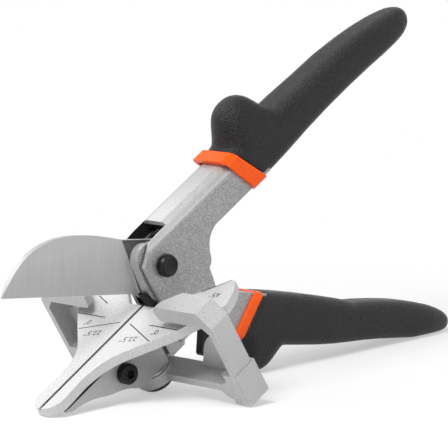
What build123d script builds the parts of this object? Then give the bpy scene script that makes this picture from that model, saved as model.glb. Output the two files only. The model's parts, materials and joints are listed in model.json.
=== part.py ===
from build123d import *
import math
import os

os.makedirs("parts", exist_ok=True)

# Mitre shears standing open on the fence feet and on the end of the lower grip.
# Sizes are in millimetres, angles in degrees. The mitre point, where the fence
# face crosses the blade slot on top of the work table, is the origin.

# Angles
tilt = 30.4
open_angle = 37.0
splay_angle = 4.2

# Main pivot and handles
pivot_behind = 22.5
pivot_height = 11.8
handle_reach = 172.0
lower_reach = 178.0
pivot_bolt_radius = 2.5
pivot_head_radius = 4.6
pivot_head_height = 3.4
pivot_head_bevel = 0.6
bush_radius = 4.0
running_gap = 0.1
turning_gap = 0.3
overrun = 5.0

# Work table
table_thickness = 4.2
table_reach = 54.1
tip_half_width = 7.2
wing_radius = 46.2
slot_width = 1.4
throat_reach = 10.0
throat_half_width = 7.9
tip_wall = 1.6

# Anvil insert
insert_half_width = 2.2
insert_cover = 1.6
insert_flange = 0.8
insert_head_thickness = 1.9
insert_guard_height = 7.0
insert_guard_thickness = 1.4
insert_guard_lean = 1.2
insert_guard_gap = 2.0
blade_slit = 1.8

# Anvil holder and table carrier
keel_half_width = 7.0
keel_nose = 48.2
keel_joint = 5.5
keel_depth = 23.3
carrier_half_width = 6.4
carrier_heel = 17.3
anvil_screw_radius = 2.5
anvil_screw_ahead = 16.6
anvil_screw_drop = 12.0
cap_head_radius = 4.25
cap_head_height = 3.6
hex_socket_width = 4.0
anvil_nut_width = 8.0
anvil_nut_height = 4.0
table_screw_radius = 1.5
table_screw_head = 2.4
table_screw_spread = 4.2
table_screw_bite = 3.0
table_screw_grip = 4.0
table_screw_front = 30.0
table_screw_rear = 5.8
rivet_radius = 2.0
stop_gap = 0.4

# Upper channel
channel_half_width = 8.5
sheet = 2.0
channel_top = 25.0
channel_rim = 8.4
channel_front = 13.2
channel_bottom = 20.3
web_front = 33.0
shoulder_radius = 5.0
channel_reach = 90.0
tang_half_width = 4.5
tang_rise = 4.0
tang_height = 9.0
tang_share = 0.8

# Blade
blade_reach = 76.5
blade_back = 11.6
blade_heel = 6.0
blade_bite = 0.4
blade_thickness = 2.4
edge_thickness = 0.2
edge_bevel = 6.0
back_bevel = 0.5
blade_tang_thickness = 3.4
blade_tang_radius = 9.5

# Lower lever
cheek_half_width = 4.0
near_cheek_width = 5.9
lobe_reach = 13.0
washer_radius = 8.0
neck_half_width = 6.2
stem_half_width = 7.5
neck_start = 13.0
neck_full = 20.0
stem_start = 36.0
stem_full = 44.0
stem_reach = 60.0
stop_corner_drop = 14.4
stem_inner = 8.7
stem_outer = 27.2
blade_rivet_radius = 1.6

# Grips and collars
grip_inner_upper = -4.4
grip_inner_lower = 8.5
grip_height = 20.0
grip_half_width = 9.5
grip_round = 5.0
bump_reach_upper = 70.0
bump_reach_lower = 62.0
bump_half_length = 15.0
bump_rise_upper = 14.0
bump_rise_lower = 12.4
grip_front = 44.0
collar_wall = 1.5
collar_round = 3.0
collar_margin = 0.4
upper_collar_reach = 46.9
upper_collar_slant = 9.4
upper_collar_length = 6.3
upper_grip_slant = 11.2
lower_collar_reach = 52.7
lower_collar_slant = 10.1
lower_collar_length = 4.3
lower_grip_slant = 9.8

# Fence
fence_half_width = 50.0
fence_wall = 2.6
fence_depth = 10.3
nose_inner = 20.2
nose_land = 1.8
nose_round = 2.5
nose_bottom = 3.5
nose_top = 10.3
nose_bevel = 5.0
foot_drop = 35.5
foot_inner = 40.5
foot_rise = 3.0
foot_top = 20.9
foot_pad = 1.0
foot_pad_depth = 12.3
bar_top = 25.8
bar_bottom = 29.4
boss_top = 24.4
boss_radius = 8.0
web_thickness = 2.3
fence_bolt_radius = 4.0
fence_thread_radius = 3.0
fence_thread_length = 14.0
fence_head_radius = 6.8
fence_head_height = 2.6
fence_head_bevel = 1.2
fence_washer_radius = 7.4
foot_round = 2.0

# Locking catch
catch_half_thickness = 1.6
catch_pin_radius = 1.5
catch_width = 5.7
catch_tab = 16.5
catch_arm = 9.0
catch_slot_half = 2.0
catch_pin_along = 33.6
catch_pin_across = 19.4
catch_angle = 85.6

# Return spring
spring_wire = 1.4
spring_radius = 5.8
spring_leg = 14.0

cos_tilt = math.cos(math.radians(tilt))
sin_tilt = math.sin(math.radians(tilt))
lever_turn = -open_angle
handle_turn = -open_angle - splay_angle


def spot(x, y, z):
    """Place of a point given along, across and square to the work table."""
    return (x * cos_tilt - z * sin_tilt, y, x * sin_tilt + z * cos_tilt)


def side(x, z, y=0, turn=0):
    """Plane seen from the near side, turned about the line across the tool."""
    angle = math.radians(tilt + turn)
    return Plane(origin=spot(x, y, z), x_dir=(math.cos(angle), 0, math.sin(angle)), z_dir=(0, -1, 0))


def deck(z, x=0, y=0):
    """Plane parallel to the work table."""
    return Plane(origin=spot(x, y, z), x_dir=(cos_tilt, 0, sin_tilt), z_dir=(-sin_tilt, 0, cos_tilt))


def across(x):
    """Plane square to the blade slot."""
    return Plane(origin=spot(x, 0, 0), x_dir=(0, 1, 0), z_dir=(cos_tilt, 0, sin_tilt))


def pivot_side(turn=0, y=0):
    """Side plane with its origin on the main pivot."""
    return side(pivot_behind, pivot_height, y, turn)


def outward_side(turn):
    """Side plane on the main pivot whose second direction leads down, away from the upper handle."""
    angle = math.radians(tilt + turn)
    origin = spot(pivot_behind, 0, pivot_height)
    return Plane(origin=origin, x_dir=(math.cos(angle), 0, math.sin(angle)), z_dir=(0, 1, 0))


def lever_section(along, turn):
    """Plane square to a lever direction, at a distance from the pivot."""
    angle = math.radians(tilt + turn)
    direction = (math.cos(angle), 0, math.sin(angle))
    px, py, pz = spot(pivot_behind, 0, pivot_height)
    origin = (px + along * direction[0], py, pz + along * direction[2])
    return Plane(origin=origin, x_dir=(0, 1, 0), z_dir=direction)


def turned(x, y, turn):
    """Point beside the pivot, turned, given along and square to the table."""
    angle = math.radians(turn)
    along = pivot_behind + x * math.cos(angle) - y * math.sin(angle)
    height = pivot_height + x * math.sin(angle) + y * math.cos(angle)
    return (along, height)


def scaled(shares, width, height):
    """Outline points from shares of a width and a height."""
    return [(a * width, b * height) for a, b in shares]


def save(piece, name):
    """Label a sub-part and write it to its file."""
    piece.label = name
    export_step(piece, f"parts/{name}.step")


# Work table: symmetric plate with a tip arm, two wings and the blade slot.
waist_shares = [(-0.88, 0.156), (-0.62, 0.145), (-0.40, 0.216), (-0.226, 0.39)]
wing_shares = [(-0.01, 0.636), (0.372, 0.879), (0.541, 0.829), (0.70, 0.718), (0.43, 0.407)]
tip_share = 0.967
tip_side_share = 0.68
waist = [(a * table_reach, b * wing_radius) for a, b in waist_shares]
wing = scaled(wing_shares, wing_radius, wing_radius)
screw_spots = [
    (along, across_y)
    for along in (-table_screw_front, table_screw_rear)
    for across_y in (-table_screw_spread, table_screw_spread)
]
with BuildPart() as work_table:
    with BuildSketch(deck(-table_thickness)):
        with BuildLine():
            tip_mid = (-tip_share * table_reach, tip_side_share * tip_half_width)
            ThreePointArc((-table_reach, 0), tip_mid, waist[0])
            Spline(*waist, tangents=[(1, 0), (1, 1)])
            Polyline(waist[-1], wing[0], wing[1])
            ThreePointArc(wing[1], wing[2], wing[3])
            Polyline(wing[3], wing[4], (throat_reach, throat_half_width), (throat_reach, 0), (-table_reach, 0))
        make_face()
        mirror(about=Plane.XZ)
    extrude(amount=table_thickness)
    with BuildSketch(deck(-table_thickness)):
        with BuildLine():
            Polyline(
                (-table_reach + tip_wall, -slot_width / 2),
                (throat_reach + overrun, -slot_width / 2),
                (throat_reach + overrun, slot_width / 2),
                (-table_reach + tip_wall, slot_width / 2),
                close=True,
            )
        make_face()
    extrude(amount=table_thickness, mode=Mode.SUBTRACT)
    with BuildSketch(deck(-insert_cover, -table_reach)):
        Rectangle(2 * overrun, slot_width)
    extrude(amount=insert_cover, mode=Mode.SUBTRACT)
    groove_start = table_reach - insert_half_width
    with BuildSketch(deck(-table_thickness)):
        with BuildLine():
            Polyline(
                (-groove_start, -insert_half_width),
                (throat_reach, -insert_half_width),
                (throat_reach, insert_half_width),
                (-groove_start, insert_half_width),
                close=True,
            )
        make_face()
    extrude(amount=table_thickness - insert_cover, mode=Mode.SUBTRACT)
    for along, beside in screw_spots:
        with BuildSketch(deck(-table_thickness, along, beside)):
            Circle(table_screw_radius)
        extrude(amount=table_screw_bite, mode=Mode.SUBTRACT)
save(work_table.part, "work_table")

# Anvil insert: cutting strip under the slot, flange below the table, head and leaning guard in the throat.
strip_start = table_reach - insert_half_width - running_gap
flange_start = table_reach - keel_half_width
rib_top = blade_bite + running_gap
with BuildPart() as anvil_insert:
    with BuildSketch(across(-strip_start)):
        with BuildLine():
            Polyline(
                (-insert_half_width, -table_thickness),
                (-insert_half_width, -insert_cover),
                (-slot_width / 2, -insert_cover),
                (-slot_width / 2, -rib_top),
                (slot_width / 2, -rib_top),
                (slot_width / 2, -insert_cover),
                (insert_half_width, -insert_cover),
                (insert_half_width, -table_thickness),
                close=True,
            )
        make_face()
    extrude(amount=strip_start + throat_reach)
    with BuildSketch(deck(-table_thickness - insert_flange)):
        with BuildLine():
            Polyline(
                (-flange_start, -keel_half_width),
                (-keel_joint, -keel_half_width),
                (-keel_joint, keel_half_width),
                (-flange_start, keel_half_width),
                close=True,
            )
        make_face()
        with Locations(*[s for s in screw_spots if s[0] < 0]):
            Circle(table_screw_radius, mode=Mode.SUBTRACT)
    extrude(amount=insert_flange)
    head_back = throat_reach + insert_head_thickness
    with BuildSketch(deck(-table_thickness)):
        with BuildLine():
            Polyline(
                (throat_reach, -carrier_half_width),
                (head_back, -carrier_half_width),
                (head_back, insert_half_width),
                (throat_reach, insert_half_width),
                close=True,
            )
        make_face()
    extrude(amount=table_thickness - rib_top)
    with BuildSketch(side(0, 0, -insert_guard_gap)):
        with BuildLine():
            guard_top = throat_reach - insert_guard_lean
            Polyline(
                (throat_reach, -table_thickness),
                (throat_reach, 0),
                (guard_top, insert_guard_height),
                (guard_top + insert_guard_thickness, insert_guard_height),
                (head_back, -rib_top),
                (head_back, -table_thickness),
                close=True,
            )
        make_face()
    extrude(amount=carrier_half_width - insert_guard_gap)
save(anvil_insert.part, "anvil_insert")

# Anvil holder: front keel under the insert, with a counterbore for the cap screw.
keel_top = table_thickness + insert_flange
keel_shares = [(-1.0, 0.25), (-0.955, 0.305), (-0.74, 0.425), (-0.57, 0.61), (-0.36, 0.825), (-0.195, 0.975)]
keel_points = scaled(keel_shares, keel_nose, keel_depth)
screw_pocket = keel_top + table_screw_grip
with BuildPart() as anvil_holder:
    with BuildSketch(side(0, 0, keel_half_width)):
        with BuildLine():
            lower = [(x, -z) for x, z in keel_points]
            Polyline(lower[0], lower[1])
            Spline(*lower[1:], tangents=[(1, -0.2), (1, 0)])
            Polyline(
                lower[-1],
                (-keel_joint, -keel_depth),
                (-keel_joint, -keel_top),
                (-keel_nose, -keel_top),
                lower[0],
            )
        make_face()
    extrude(amount=2 * keel_half_width)
    with BuildSketch(side(-anvil_screw_ahead, -anvil_screw_drop, keel_half_width)):
        Circle(anvil_screw_radius)
    extrude(amount=2 * keel_half_width, mode=Mode.SUBTRACT)
    for along, beside in screw_spots:
        if along < 0:
            with BuildSketch(deck(-keel_depth, along, beside)):
                Circle(table_screw_head)
            extrude(amount=keel_depth - screw_pocket, mode=Mode.SUBTRACT)
            with BuildSketch(deck(-keel_depth, along, beside)):
                Circle(table_screw_radius)
            extrude(amount=keel_depth, mode=Mode.SUBTRACT)
save(anvil_holder.part, "anvil_holder")

# Anvil screw: socket cap screw across the holder.
with BuildPart() as anvil_screw:
    with BuildSketch(side(-anvil_screw_ahead, -anvil_screw_drop, -keel_half_width)):
        Circle(cap_head_radius)
    extrude(amount=cap_head_height)
    rim = anvil_screw.edges().filter_by(GeomType.CIRCLE).group_by(Axis.Y)[0]
    chamfer(rim, length=back_bevel)
    with BuildSketch(side(-anvil_screw_ahead, -anvil_screw_drop, -keel_half_width - cap_head_height / 2)):
        RegularPolygon(hex_socket_width / 2, 6)
    extrude(amount=cap_head_height, mode=Mode.SUBTRACT)
    with BuildSketch(side(-anvil_screw_ahead, -anvil_screw_drop, keel_half_width + anvil_nut_height)):
        Circle(anvil_screw_radius)
    extrude(amount=2 * keel_half_width + anvil_nut_height)
save(anvil_screw.part, "anvil_screw")

with BuildPart() as anvil_nut:
    with BuildSketch(side(-anvil_screw_ahead, -anvil_screw_drop, keel_half_width + anvil_nut_height)):
        RegularPolygon(anvil_nut_width / 2, 6, major_radius=False)
        Circle(anvil_screw_radius, mode=Mode.SUBTRACT)
    extrude(amount=anvil_nut_height)
save(anvil_nut.part, "anvil_nut")

# Outer edge of the lever at rest, which stops against the back of the carrier lug.
stop_corner = turned(0, -stop_corner_drop, handle_turn)
stem_corner = turned(stem_full, -stem_outer, handle_turn)
stop_run = math.dist(stop_corner, stem_corner)
stop_along = (stem_corner[0] - stop_corner[0]) / stop_run
stop_down = (stem_corner[1] - stop_corner[1]) / stop_run


def before_lever(height):
    """Point just ahead of the lever's outer edge at rest, at a height."""
    behind = (height - stop_corner[1]) / stop_down * stop_along
    return (stop_corner[0] + behind + stop_gap / stop_down, height)


# Table carrier: rear keel with the lug between the channel walls and the fence pivot thread.
lug_bottom = channel_bottom - running_gap
rivet_spots = [
    (channel_front + 2 * rivet_radius, -channel_bottom / 2),
    (channel_front + 4 * rivet_radius - running_gap, -channel_bottom + 2 * rivet_radius - running_gap),
]
with BuildPart() as table_carrier:
    with BuildSketch(side(0, 0, carrier_half_width)):
        with BuildLine():
            Polyline(
                (-keel_joint, -table_thickness),
                (-keel_joint, -keel_depth),
                (carrier_heel - sheet, -keel_depth),
                (carrier_heel, -lug_bottom),
                before_lever(-lug_bottom),
                before_lever(-table_thickness),
                close=True,
            )
        make_face()
    extrude(amount=2 * carrier_half_width)
    with BuildSketch(deck(-keel_depth)):
        Circle(fence_thread_radius)
    extrude(amount=fence_thread_length, mode=Mode.SUBTRACT)
    for along, beside in screw_spots:
        if along > 0:
            with BuildSketch(deck(-keel_depth, along, beside)):
                Circle(table_screw_head)
            extrude(amount=keel_depth - table_thickness - table_screw_grip, mode=Mode.SUBTRACT)
            with BuildSketch(deck(-keel_depth, along, beside)):
                Circle(table_screw_radius)
            extrude(amount=keel_depth, mode=Mode.SUBTRACT)
    for along, height in rivet_spots:
        with BuildSketch(side(along, height, channel_half_width)):
            Circle(rivet_radius)
        extrude(amount=2 * channel_half_width, mode=Mode.SUBTRACT)
save(table_carrier.part, "table_carrier")

# Table screws: heads up in the keel, threads in the table or the insert head.
with BuildPart() as table_screws:
    for along, beside in screw_spots:
        under = screw_pocket if along < 0 else table_thickness + table_screw_grip
        with BuildSketch(deck(-under, along, beside)):
            Circle(table_screw_head)
        extrude(amount=-table_screw_bite)
        with BuildSketch(deck(-under, along, beside)):
            Circle(table_screw_radius)
        extrude(amount=under - table_thickness + (table_screw_bite if along < 0 else 0))
save(table_screws.part, "table_screws")

with BuildPart() as carrier_rivets:
    for along, height in rivet_spots:
        with BuildSketch(side(along, height, channel_half_width)):
            Circle(rivet_radius)
        extrude(amount=2 * channel_half_width)
save(carrier_rivets.part, "carrier_rivets")

# Upper channel: two pivot walls, a web on top, and a tang inside the grip.
wall_top_shares = [(0.0, 0.70), (0.035, 0.77), (0.10, 0.94), (0.24, 0.98), (0.26, 1.0)]
wall_step_shares = [(0.34, -0.79), (0.352, -0.56), (0.367, -0.20), (0.389, -0.163), (0.406, -0.06)]
wall_rise_shares = [(0.406, -0.06), (0.42, 0.104), (0.446, 0.256), (0.49, 0.375), (0.56, 0.415)]
run = channel_reach - channel_front
wall_top = [(channel_front + a * run, b * channel_top) for a, b in wall_top_shares]
wall_step = [(channel_front + a * run, b * channel_bottom) for a, b in wall_step_shares]
wall_rise = [(channel_front + a * run, b * channel_bottom) for a, b in wall_rise_shares]
tang_bottom = channel_rim + tang_rise
with BuildPart() as upper_channel:
    with BuildSketch(side(0, 0, channel_half_width)):
        with BuildLine():
            Polyline(*wall_top, (channel_reach, channel_top), (channel_reach, channel_rim), wall_rise[-1])
            Spline(*wall_rise)
            Polyline(
                wall_rise[0],
                *reversed(wall_step[:-1]),
                (web_front - sheet, -channel_bottom),
                (channel_front + running_gap, -channel_bottom),
                (channel_front, pivot_height),
                wall_top[0],
            )
        make_face()
    extrude(amount=2 * channel_half_width)
    ridge = upper_channel.edges().filter_by(Axis(spot(0, 0, 0), (cos_tilt, 0, sin_tilt)))
    ridge = ridge.sort_by_distance(spot(channel_reach, 0, channel_top + channel_reach))[:2]
    fillet(ridge, radius=shoulder_radius)
    inner = channel_half_width - sheet
    with BuildSketch(side(0, 0, inner)):
        with BuildLine():
            Polyline(
                (0, -channel_bottom - overrun),
                (0, channel_top + overrun),
                (web_front, channel_top + overrun),
                (web_front, channel_top - sheet),
                (channel_reach - sheet, channel_top - sheet),
                (channel_reach - sheet, -channel_bottom - overrun),
                close=True,
            )
        make_face()
    extrude(amount=2 * inner, mode=Mode.SUBTRACT)
    with BuildSketch(across(channel_reach - sheet)):
        with Locations((0, tang_bottom + tang_height / 2)):
            Rectangle(2 * tang_half_width, tang_height)
    extrude(amount=tang_share * handle_reach + pivot_behind - channel_reach + sheet)
    with BuildSketch(pivot_side(y=channel_half_width)):
        Circle(pivot_bolt_radius)
    extrude(amount=2 * channel_half_width, mode=Mode.SUBTRACT)
    for along, height in rivet_spots:
        with BuildSketch(side(along, height, channel_half_width)):
            Circle(rivet_radius)
        extrude(amount=2 * channel_half_width, mode=Mode.SUBTRACT)
save(upper_channel.part, "upper_channel")

# Pivot: bolt and nut on the walls, bush between them, thin washer beside the near cheek.
with BuildPart() as pivot_bolt:
    with BuildSketch(pivot_side(y=-channel_half_width)):
        Circle(pivot_head_radius)
    extrude(amount=pivot_head_height)
    crown = pivot_bolt.edges().filter_by(GeomType.CIRCLE).group_by(Axis.Y)[0]
    chamfer(crown, length=pivot_head_bevel)
    with BuildSketch(pivot_side(y=channel_half_width + pivot_head_height)):
        Circle(pivot_bolt_radius)
    extrude(amount=2 * channel_half_width + pivot_head_height)
save(pivot_bolt.part, "pivot_bolt")

with BuildPart() as pivot_nut:
    with BuildSketch(pivot_side(y=channel_half_width + pivot_head_height)):
        Circle(pivot_head_radius)
        Circle(pivot_bolt_radius, mode=Mode.SUBTRACT)
    extrude(amount=pivot_head_height)
    outer_rim = pivot_nut.edges().filter_by(GeomType.CIRCLE).group_by(Axis.Y)[-1].sort_by(SortBy.RADIUS)[-1]
    chamfer(outer_rim, length=pivot_head_bevel)
save(pivot_nut.part, "pivot_nut")

with BuildPart() as pivot_bush:
    with BuildSketch(pivot_side(y=inner)):
        Circle(bush_radius)
        Circle(pivot_bolt_radius, mode=Mode.SUBTRACT)
    extrude(amount=2 * inner)
save(pivot_bush.part, "pivot_bush")

with BuildPart() as thrust_washer:
    with BuildSketch(pivot_side(y=-near_cheek_width - running_gap)):
        Circle(washer_radius)
        Circle(bush_radius, mode=Mode.SUBTRACT)
    extrude(amount=inner - near_cheek_width - 2 * running_gap)
save(thrust_washer.part, "thrust_washer")

# Return spring: hairpin of wire round the bush, lying against the far wall, one leg along each handle.
with BuildPart() as return_spring:
    with BuildLine(pivot_side(y=inner - spring_wire / 2)) as hairpin:
        lever_way = (math.cos(math.radians(handle_turn)), math.sin(math.radians(handle_turn)))
        upper_tangent = (0, spring_radius)
        lower_tangent = (lever_way[1] * spring_radius, -lever_way[0] * spring_radius)
        lower_tip = (
            lower_tangent[0] + lever_way[0] * spring_leg,
            lower_tangent[1] + lever_way[1] * spring_leg,
        )
        Line((spring_leg, spring_radius), upper_tangent)
        ThreePointArc(upper_tangent, (-spring_radius, 0), lower_tangent)
        Line(lower_tangent, lower_tip)
    with BuildSketch(Plane(origin=hairpin.line @ 0, z_dir=hairpin.line % 0)):
        Circle(spring_wire / 2)
    sweep(path=hairpin.line)
save(return_spring.part, "return_spring")
print("spring gap to itself", round(math.dist(upper_tangent, lower_tangent) - spring_wire, 3))

# Blade: flat knife with a ground edge, a curved back and a thicker tang on the pivot.
edge_drop = pivot_height + blade_bite
back_shares = [
    (-0.935, -0.233), (-0.848, 0.371), (-0.731, 0.784), (-0.609, 0.966),
    (-0.484, 1.0), (-0.376, 0.966), (-0.228, 0.828),
]
back = scaled(back_shares, blade_reach, blade_back)
tang_top = (0, blade_tang_radius)
blade_plane = pivot_side(lever_turn)
blade_rivet_shares = [(-0.55, 0.57), (-0.19, -0.80)]
blade_rivets_at = scaled(blade_rivet_shares, blade_tang_radius, blade_tang_radius)
with BuildPart() as blade:
    with BuildSketch(blade_plane):
        with BuildLine():
            Spline((-blade_reach, -edge_drop), *back)
            Line(back[-1], tang_top)
            ThreePointArc(tang_top, (blade_tang_radius, 0), (0, -blade_tang_radius))
            Polyline((0, -blade_tang_radius), (-blade_heel, -edge_drop), (-blade_reach, -edge_drop))
        make_face()
    extrude(amount=blade_thickness / 2, both=True)
    with BuildSketch(lever_section(-blade_reach - overrun, lever_turn)):
        with BuildLine():
            Polyline(
                (-edge_thickness / 2, -edge_drop),
                (edge_thickness / 2, -edge_drop),
                (blade_thickness / 2, -edge_drop + edge_bevel),
                (blade_thickness / 2, edge_drop + overrun),
                (-blade_thickness / 2, edge_drop + overrun),
                (-blade_thickness / 2, -edge_drop + edge_bevel),
                close=True,
            )
        make_face()
    extrude(amount=blade_reach + 4 * overrun, mode=Mode.INTERSECT)
    with BuildSketch(blade_plane):
        with BuildLine():
            Line(back[-1], tang_top)
            ThreePointArc(tang_top, (blade_tang_radius, 0), (0, -blade_tang_radius))
            Polyline((0, -blade_tang_radius), (-blade_heel, -edge_drop), back[-1])
        make_face()
    extrude(amount=blade_tang_thickness / 2, both=True)
    with BuildSketch(blade_plane):
        Circle(bush_radius + running_gap)
        with Locations(*blade_rivets_at):
            Circle(blade_rivet_radius)
    extrude(amount=blade_tang_thickness, both=True, mode=Mode.SUBTRACT)
save(blade.part, "blade")

with BuildPart() as blade_rivets:
    with BuildSketch(pivot_side(lever_turn, cheek_half_width)):
        with Locations(*blade_rivets_at):
            Circle(blade_rivet_radius)
    extrude(amount=cheek_half_width + near_cheek_width)
save(blade_rivets.part, "blade_rivets")

# Lower lever: forged lobe with a slot for the blade, neck, stem and a tang in the grip.
lever_plane = pivot_side(handle_turn)
tang_inner = stem_inner + tang_rise
tang_outer = tang_inner + tang_height
lower_tang_reach = tang_share * lower_reach
lobe_nose_shares = [(-0.37, -0.90), (-0.954, -0.062), (-0.885, 0.44), (-0.49, 0.61)]
neck_shares = [(0.31, 0.75), (1.08, 0.58), (1.69, 0.115), (2.27, -0.50), (2.77, -0.646)]
lobe_nose = scaled(lobe_nose_shares, lobe_reach, lobe_reach)
neck_line = scaled(neck_shares, lobe_reach, lobe_reach)
corner_mid = (lobe_nose[0][0] / 2, -stop_corner_drop + stop_gap * 2)
catch_pin_at = (catch_pin_along, -catch_pin_across)
catch_plane = Plane(
    origin=lever_plane.from_local_coords(catch_pin_at),
    x_dir=lever_section(0, handle_turn - catch_angle).z_dir,
    z_dir=(0, -1, 0),
)
with BuildPart() as lower_lever:
    with BuildSketch(lever_plane):
        with BuildLine():
            ThreePointArc((0, -stop_corner_drop), corner_mid, lobe_nose[0])
            Line(lobe_nose[0], lobe_nose[1])
            ThreePointArc(*lobe_nose[1:])
            Spline(lobe_nose[-1], *neck_line, (stem_full + overrun, -stem_inner))
            Polyline(
                (stem_full + overrun, -stem_inner),
                (stem_reach, -stem_inner),
                (stem_reach, -tang_inner),
                (lower_tang_reach, -tang_inner),
                (lower_tang_reach, -tang_outer),
                (stem_reach, -tang_outer),
                (stem_reach, -stem_outer),
                (stem_full, -stem_outer),
                (0, -stop_corner_drop),
            )
        make_face()
    extrude(amount=stem_half_width, both=True)
    top_plane = Plane(
        origin=lever_plane.origin,
        x_dir=lever_plane.x_dir,
        z_dir=lever_plane.y_dir,
    )
    with BuildSketch(top_plane):
        with BuildLine():
            far_side = [
                (neck_full, neck_half_width),
                (stem_start, neck_half_width),
                (stem_full, stem_half_width),
                (stem_reach, stem_half_width),
                (stem_reach, tang_half_width),
                (lower_tang_reach + overrun, tang_half_width),
            ]
            near_side = [(x, -y) for x, y in reversed(far_side)]
            lobe_front = -lobe_reach - overrun
            Polyline(
                (lobe_front, cheek_half_width),
                (neck_start, cheek_half_width),
                *far_side,
                *near_side,
                (neck_start, -near_cheek_width),
                (lobe_front, -near_cheek_width),
                close=True,
            )
        make_face()
    extrude(amount=2 * stem_outer, both=True, mode=Mode.INTERSECT)
    slot_floor = blade_tang_radius + turning_gap
    with BuildSketch(lever_plane):
        with BuildLine():
            Polyline(
                (lobe_front, -stop_corner_drop - overrun),
                (slot_floor, -stop_corner_drop - overrun),
                (slot_floor, lobe_reach + overrun),
                (lobe_front, lobe_reach + overrun),
                close=True,
            )
        make_face()
        Circle(bush_radius + running_gap)
    extrude(amount=blade_tang_thickness / 2, both=True, mode=Mode.SUBTRACT)
    with BuildSketch(lever_plane):
        Circle(bush_radius + running_gap)
    extrude(amount=channel_half_width, both=True, mode=Mode.SUBTRACT)
    with BuildSketch(blade_plane):
        with Locations(*blade_rivets_at):
            Circle(blade_rivet_radius)
    extrude(amount=channel_half_width, both=True, mode=Mode.SUBTRACT)
    with BuildSketch(catch_plane):
        with BuildLine():
            Polyline(
                (-catch_arm - sheet, -catch_width),
                (catch_tab + overrun, -2 * catch_width),
                (catch_tab + overrun, 2 * catch_width),
                (-catch_arm - sheet, catch_width),
                close=True,
            )
        make_face()
    extrude(amount=catch_slot_half, both=True, mode=Mode.SUBTRACT)
    with BuildSketch(catch_plane):
        Circle(catch_pin_radius)
    extrude(amount=channel_half_width, both=True, mode=Mode.SUBTRACT)
save(lower_lever.part, "lower_lever")

with BuildPart() as catch_pin:
    with BuildSketch(catch_plane):
        Circle(catch_pin_radius)
    extrude(amount=neck_half_width, both=True)
save(catch_pin.part, "catch_pin")

# Locking catch: flat plate with a thumb tab in front of the lever and a hook arm inside it.
with BuildPart() as locking_catch:
    with BuildSketch(catch_plane):
        with BuildLine():
            half = catch_width / 2
            nose_end = -catch_arm
            Polyline(
                (nose_end, -half),
                (catch_tab - half / 3, -half),
                (catch_tab, -half * 2 / 3),
                (catch_tab, half * 2 / 3),
                (catch_tab - half / 3, half),
                (nose_end + half, half),
                (nose_end + half / 2, 0),
                (nose_end, 0),
                close=True,
            )
        make_face()
        Circle(catch_pin_radius + running_gap, mode=Mode.SUBTRACT)
    extrude(amount=catch_half_thickness, both=True)
save(locking_catch.part, "locking_catch")

# Grip sections: place from the collar to the tip, low and high side, half width, corner.
upper_section_shares = [
    (0.0, 0.0, 0.98, 1.0, 1.0),
    (0.109, 0.0, 0.97, 1.0, 1.0),
    (0.203, 0.0, 0.95, 1.0, 1.0),
    (0.281, 0.02, 0.935, 1.0, 1.0),
    (0.398, 0.07, 0.915, 1.0, 1.0),
    (0.516, 0.085, 0.887, 0.97, 1.0),
    (0.633, 0.078, 0.872, 0.95, 1.0),
    (0.75, 0.05, 0.80, 0.93, 1.0),
    (0.828, 0.02, 0.725, 0.92, 1.0),
    (0.891, 0.0, 0.65, 0.88, 1.0),
    (0.9375, 0.0, 0.58, 0.80, 0.95),
    (0.973, 0.05, 0.52, 0.66, 0.8),
    (0.992, 0.12, 0.46, 0.48, 0.6),
    (1.0, 0.17, 0.41, 0.34, 0.45),
]
lower_section_shares = [
    (0.0, 0.0, 1.03, 1.0, 1.0),
    (0.104, 0.0, 1.05, 1.0, 1.0),
    (0.194, -0.01, 1.05, 1.0, 1.0),
    (0.299, 0.0, 1.025, 1.0, 1.0),
    (0.388, 0.025, 1.0, 1.0, 1.0),
    (0.463, 0.05, 0.96, 0.98, 1.0),
    (0.53, 0.095, 0.91, 0.96, 1.0),
    (0.59, 0.055, 0.86, 0.95, 1.0),
    (0.664, 0.02, 0.815, 0.93, 1.0),
    (0.754, 0.0, 0.775, 0.92, 1.0),
    (0.828, 0.02, 0.745, 0.91, 1.0),
    (0.888, 0.055, 0.675, 0.88, 1.0),
    (0.933, 0.11, 0.62, 0.80, 0.9),
    (0.966, 0.17, 0.575, 0.68, 0.75),
    (0.989, 0.24, 0.53, 0.5, 0.5),
    (1.0, 0.29, 0.47, 0.34, 0.33),
]
# Bump sections: height above the grip, middle, half length, half width.
bump_section_shares = [
    (-0.45, 0.0, 1.0, 0.97),
    (-0.15, 0.0, 1.01, 0.97),
    (0.0, -0.02, 0.94, 0.96),
    (0.15, -0.04, 0.84, 0.94),
    (0.35, -0.06, 0.74, 0.90),
    (0.55, -0.08, 0.65, 0.83),
    (0.72, -0.09, 0.56, 0.74),
    (0.85, -0.09, 0.46, 0.61),
    (0.94, -0.09, 0.34, 0.46),
    (1.0, -0.09, 0.18, 0.26),
]
bump_corner_share = 0.92


def make_collar(plane, base, turn, flip, front, rear, core_low, core_high, core_half):
    """Collar round the metal stem just ahead of a grip, its ends cut on the slant."""
    with BuildPart() as collar:
        with BuildSketch(plane):
            with BuildLine():
                Polyline(*front, *reversed(rear), close=True)
            make_face()
        extrude(amount=core_half + collar_wall + overrun, both=True)
        with BuildSketch(lever_section(0, turn)):
            with Locations((0, flip * (base + grip_height / 2))):
                width = 2 * (core_half + collar_wall)
                RectangleRounded(width, grip_height + 2 * collar_margin, collar_round)
            with Locations((0, flip * (core_low + core_high) / 2)):
                Rectangle(2 * core_half, core_high - core_low, mode=Mode.SUBTRACT)
        extrude(amount=handle_reach, mode=Mode.INTERSECT)
    return collar.part


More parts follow.
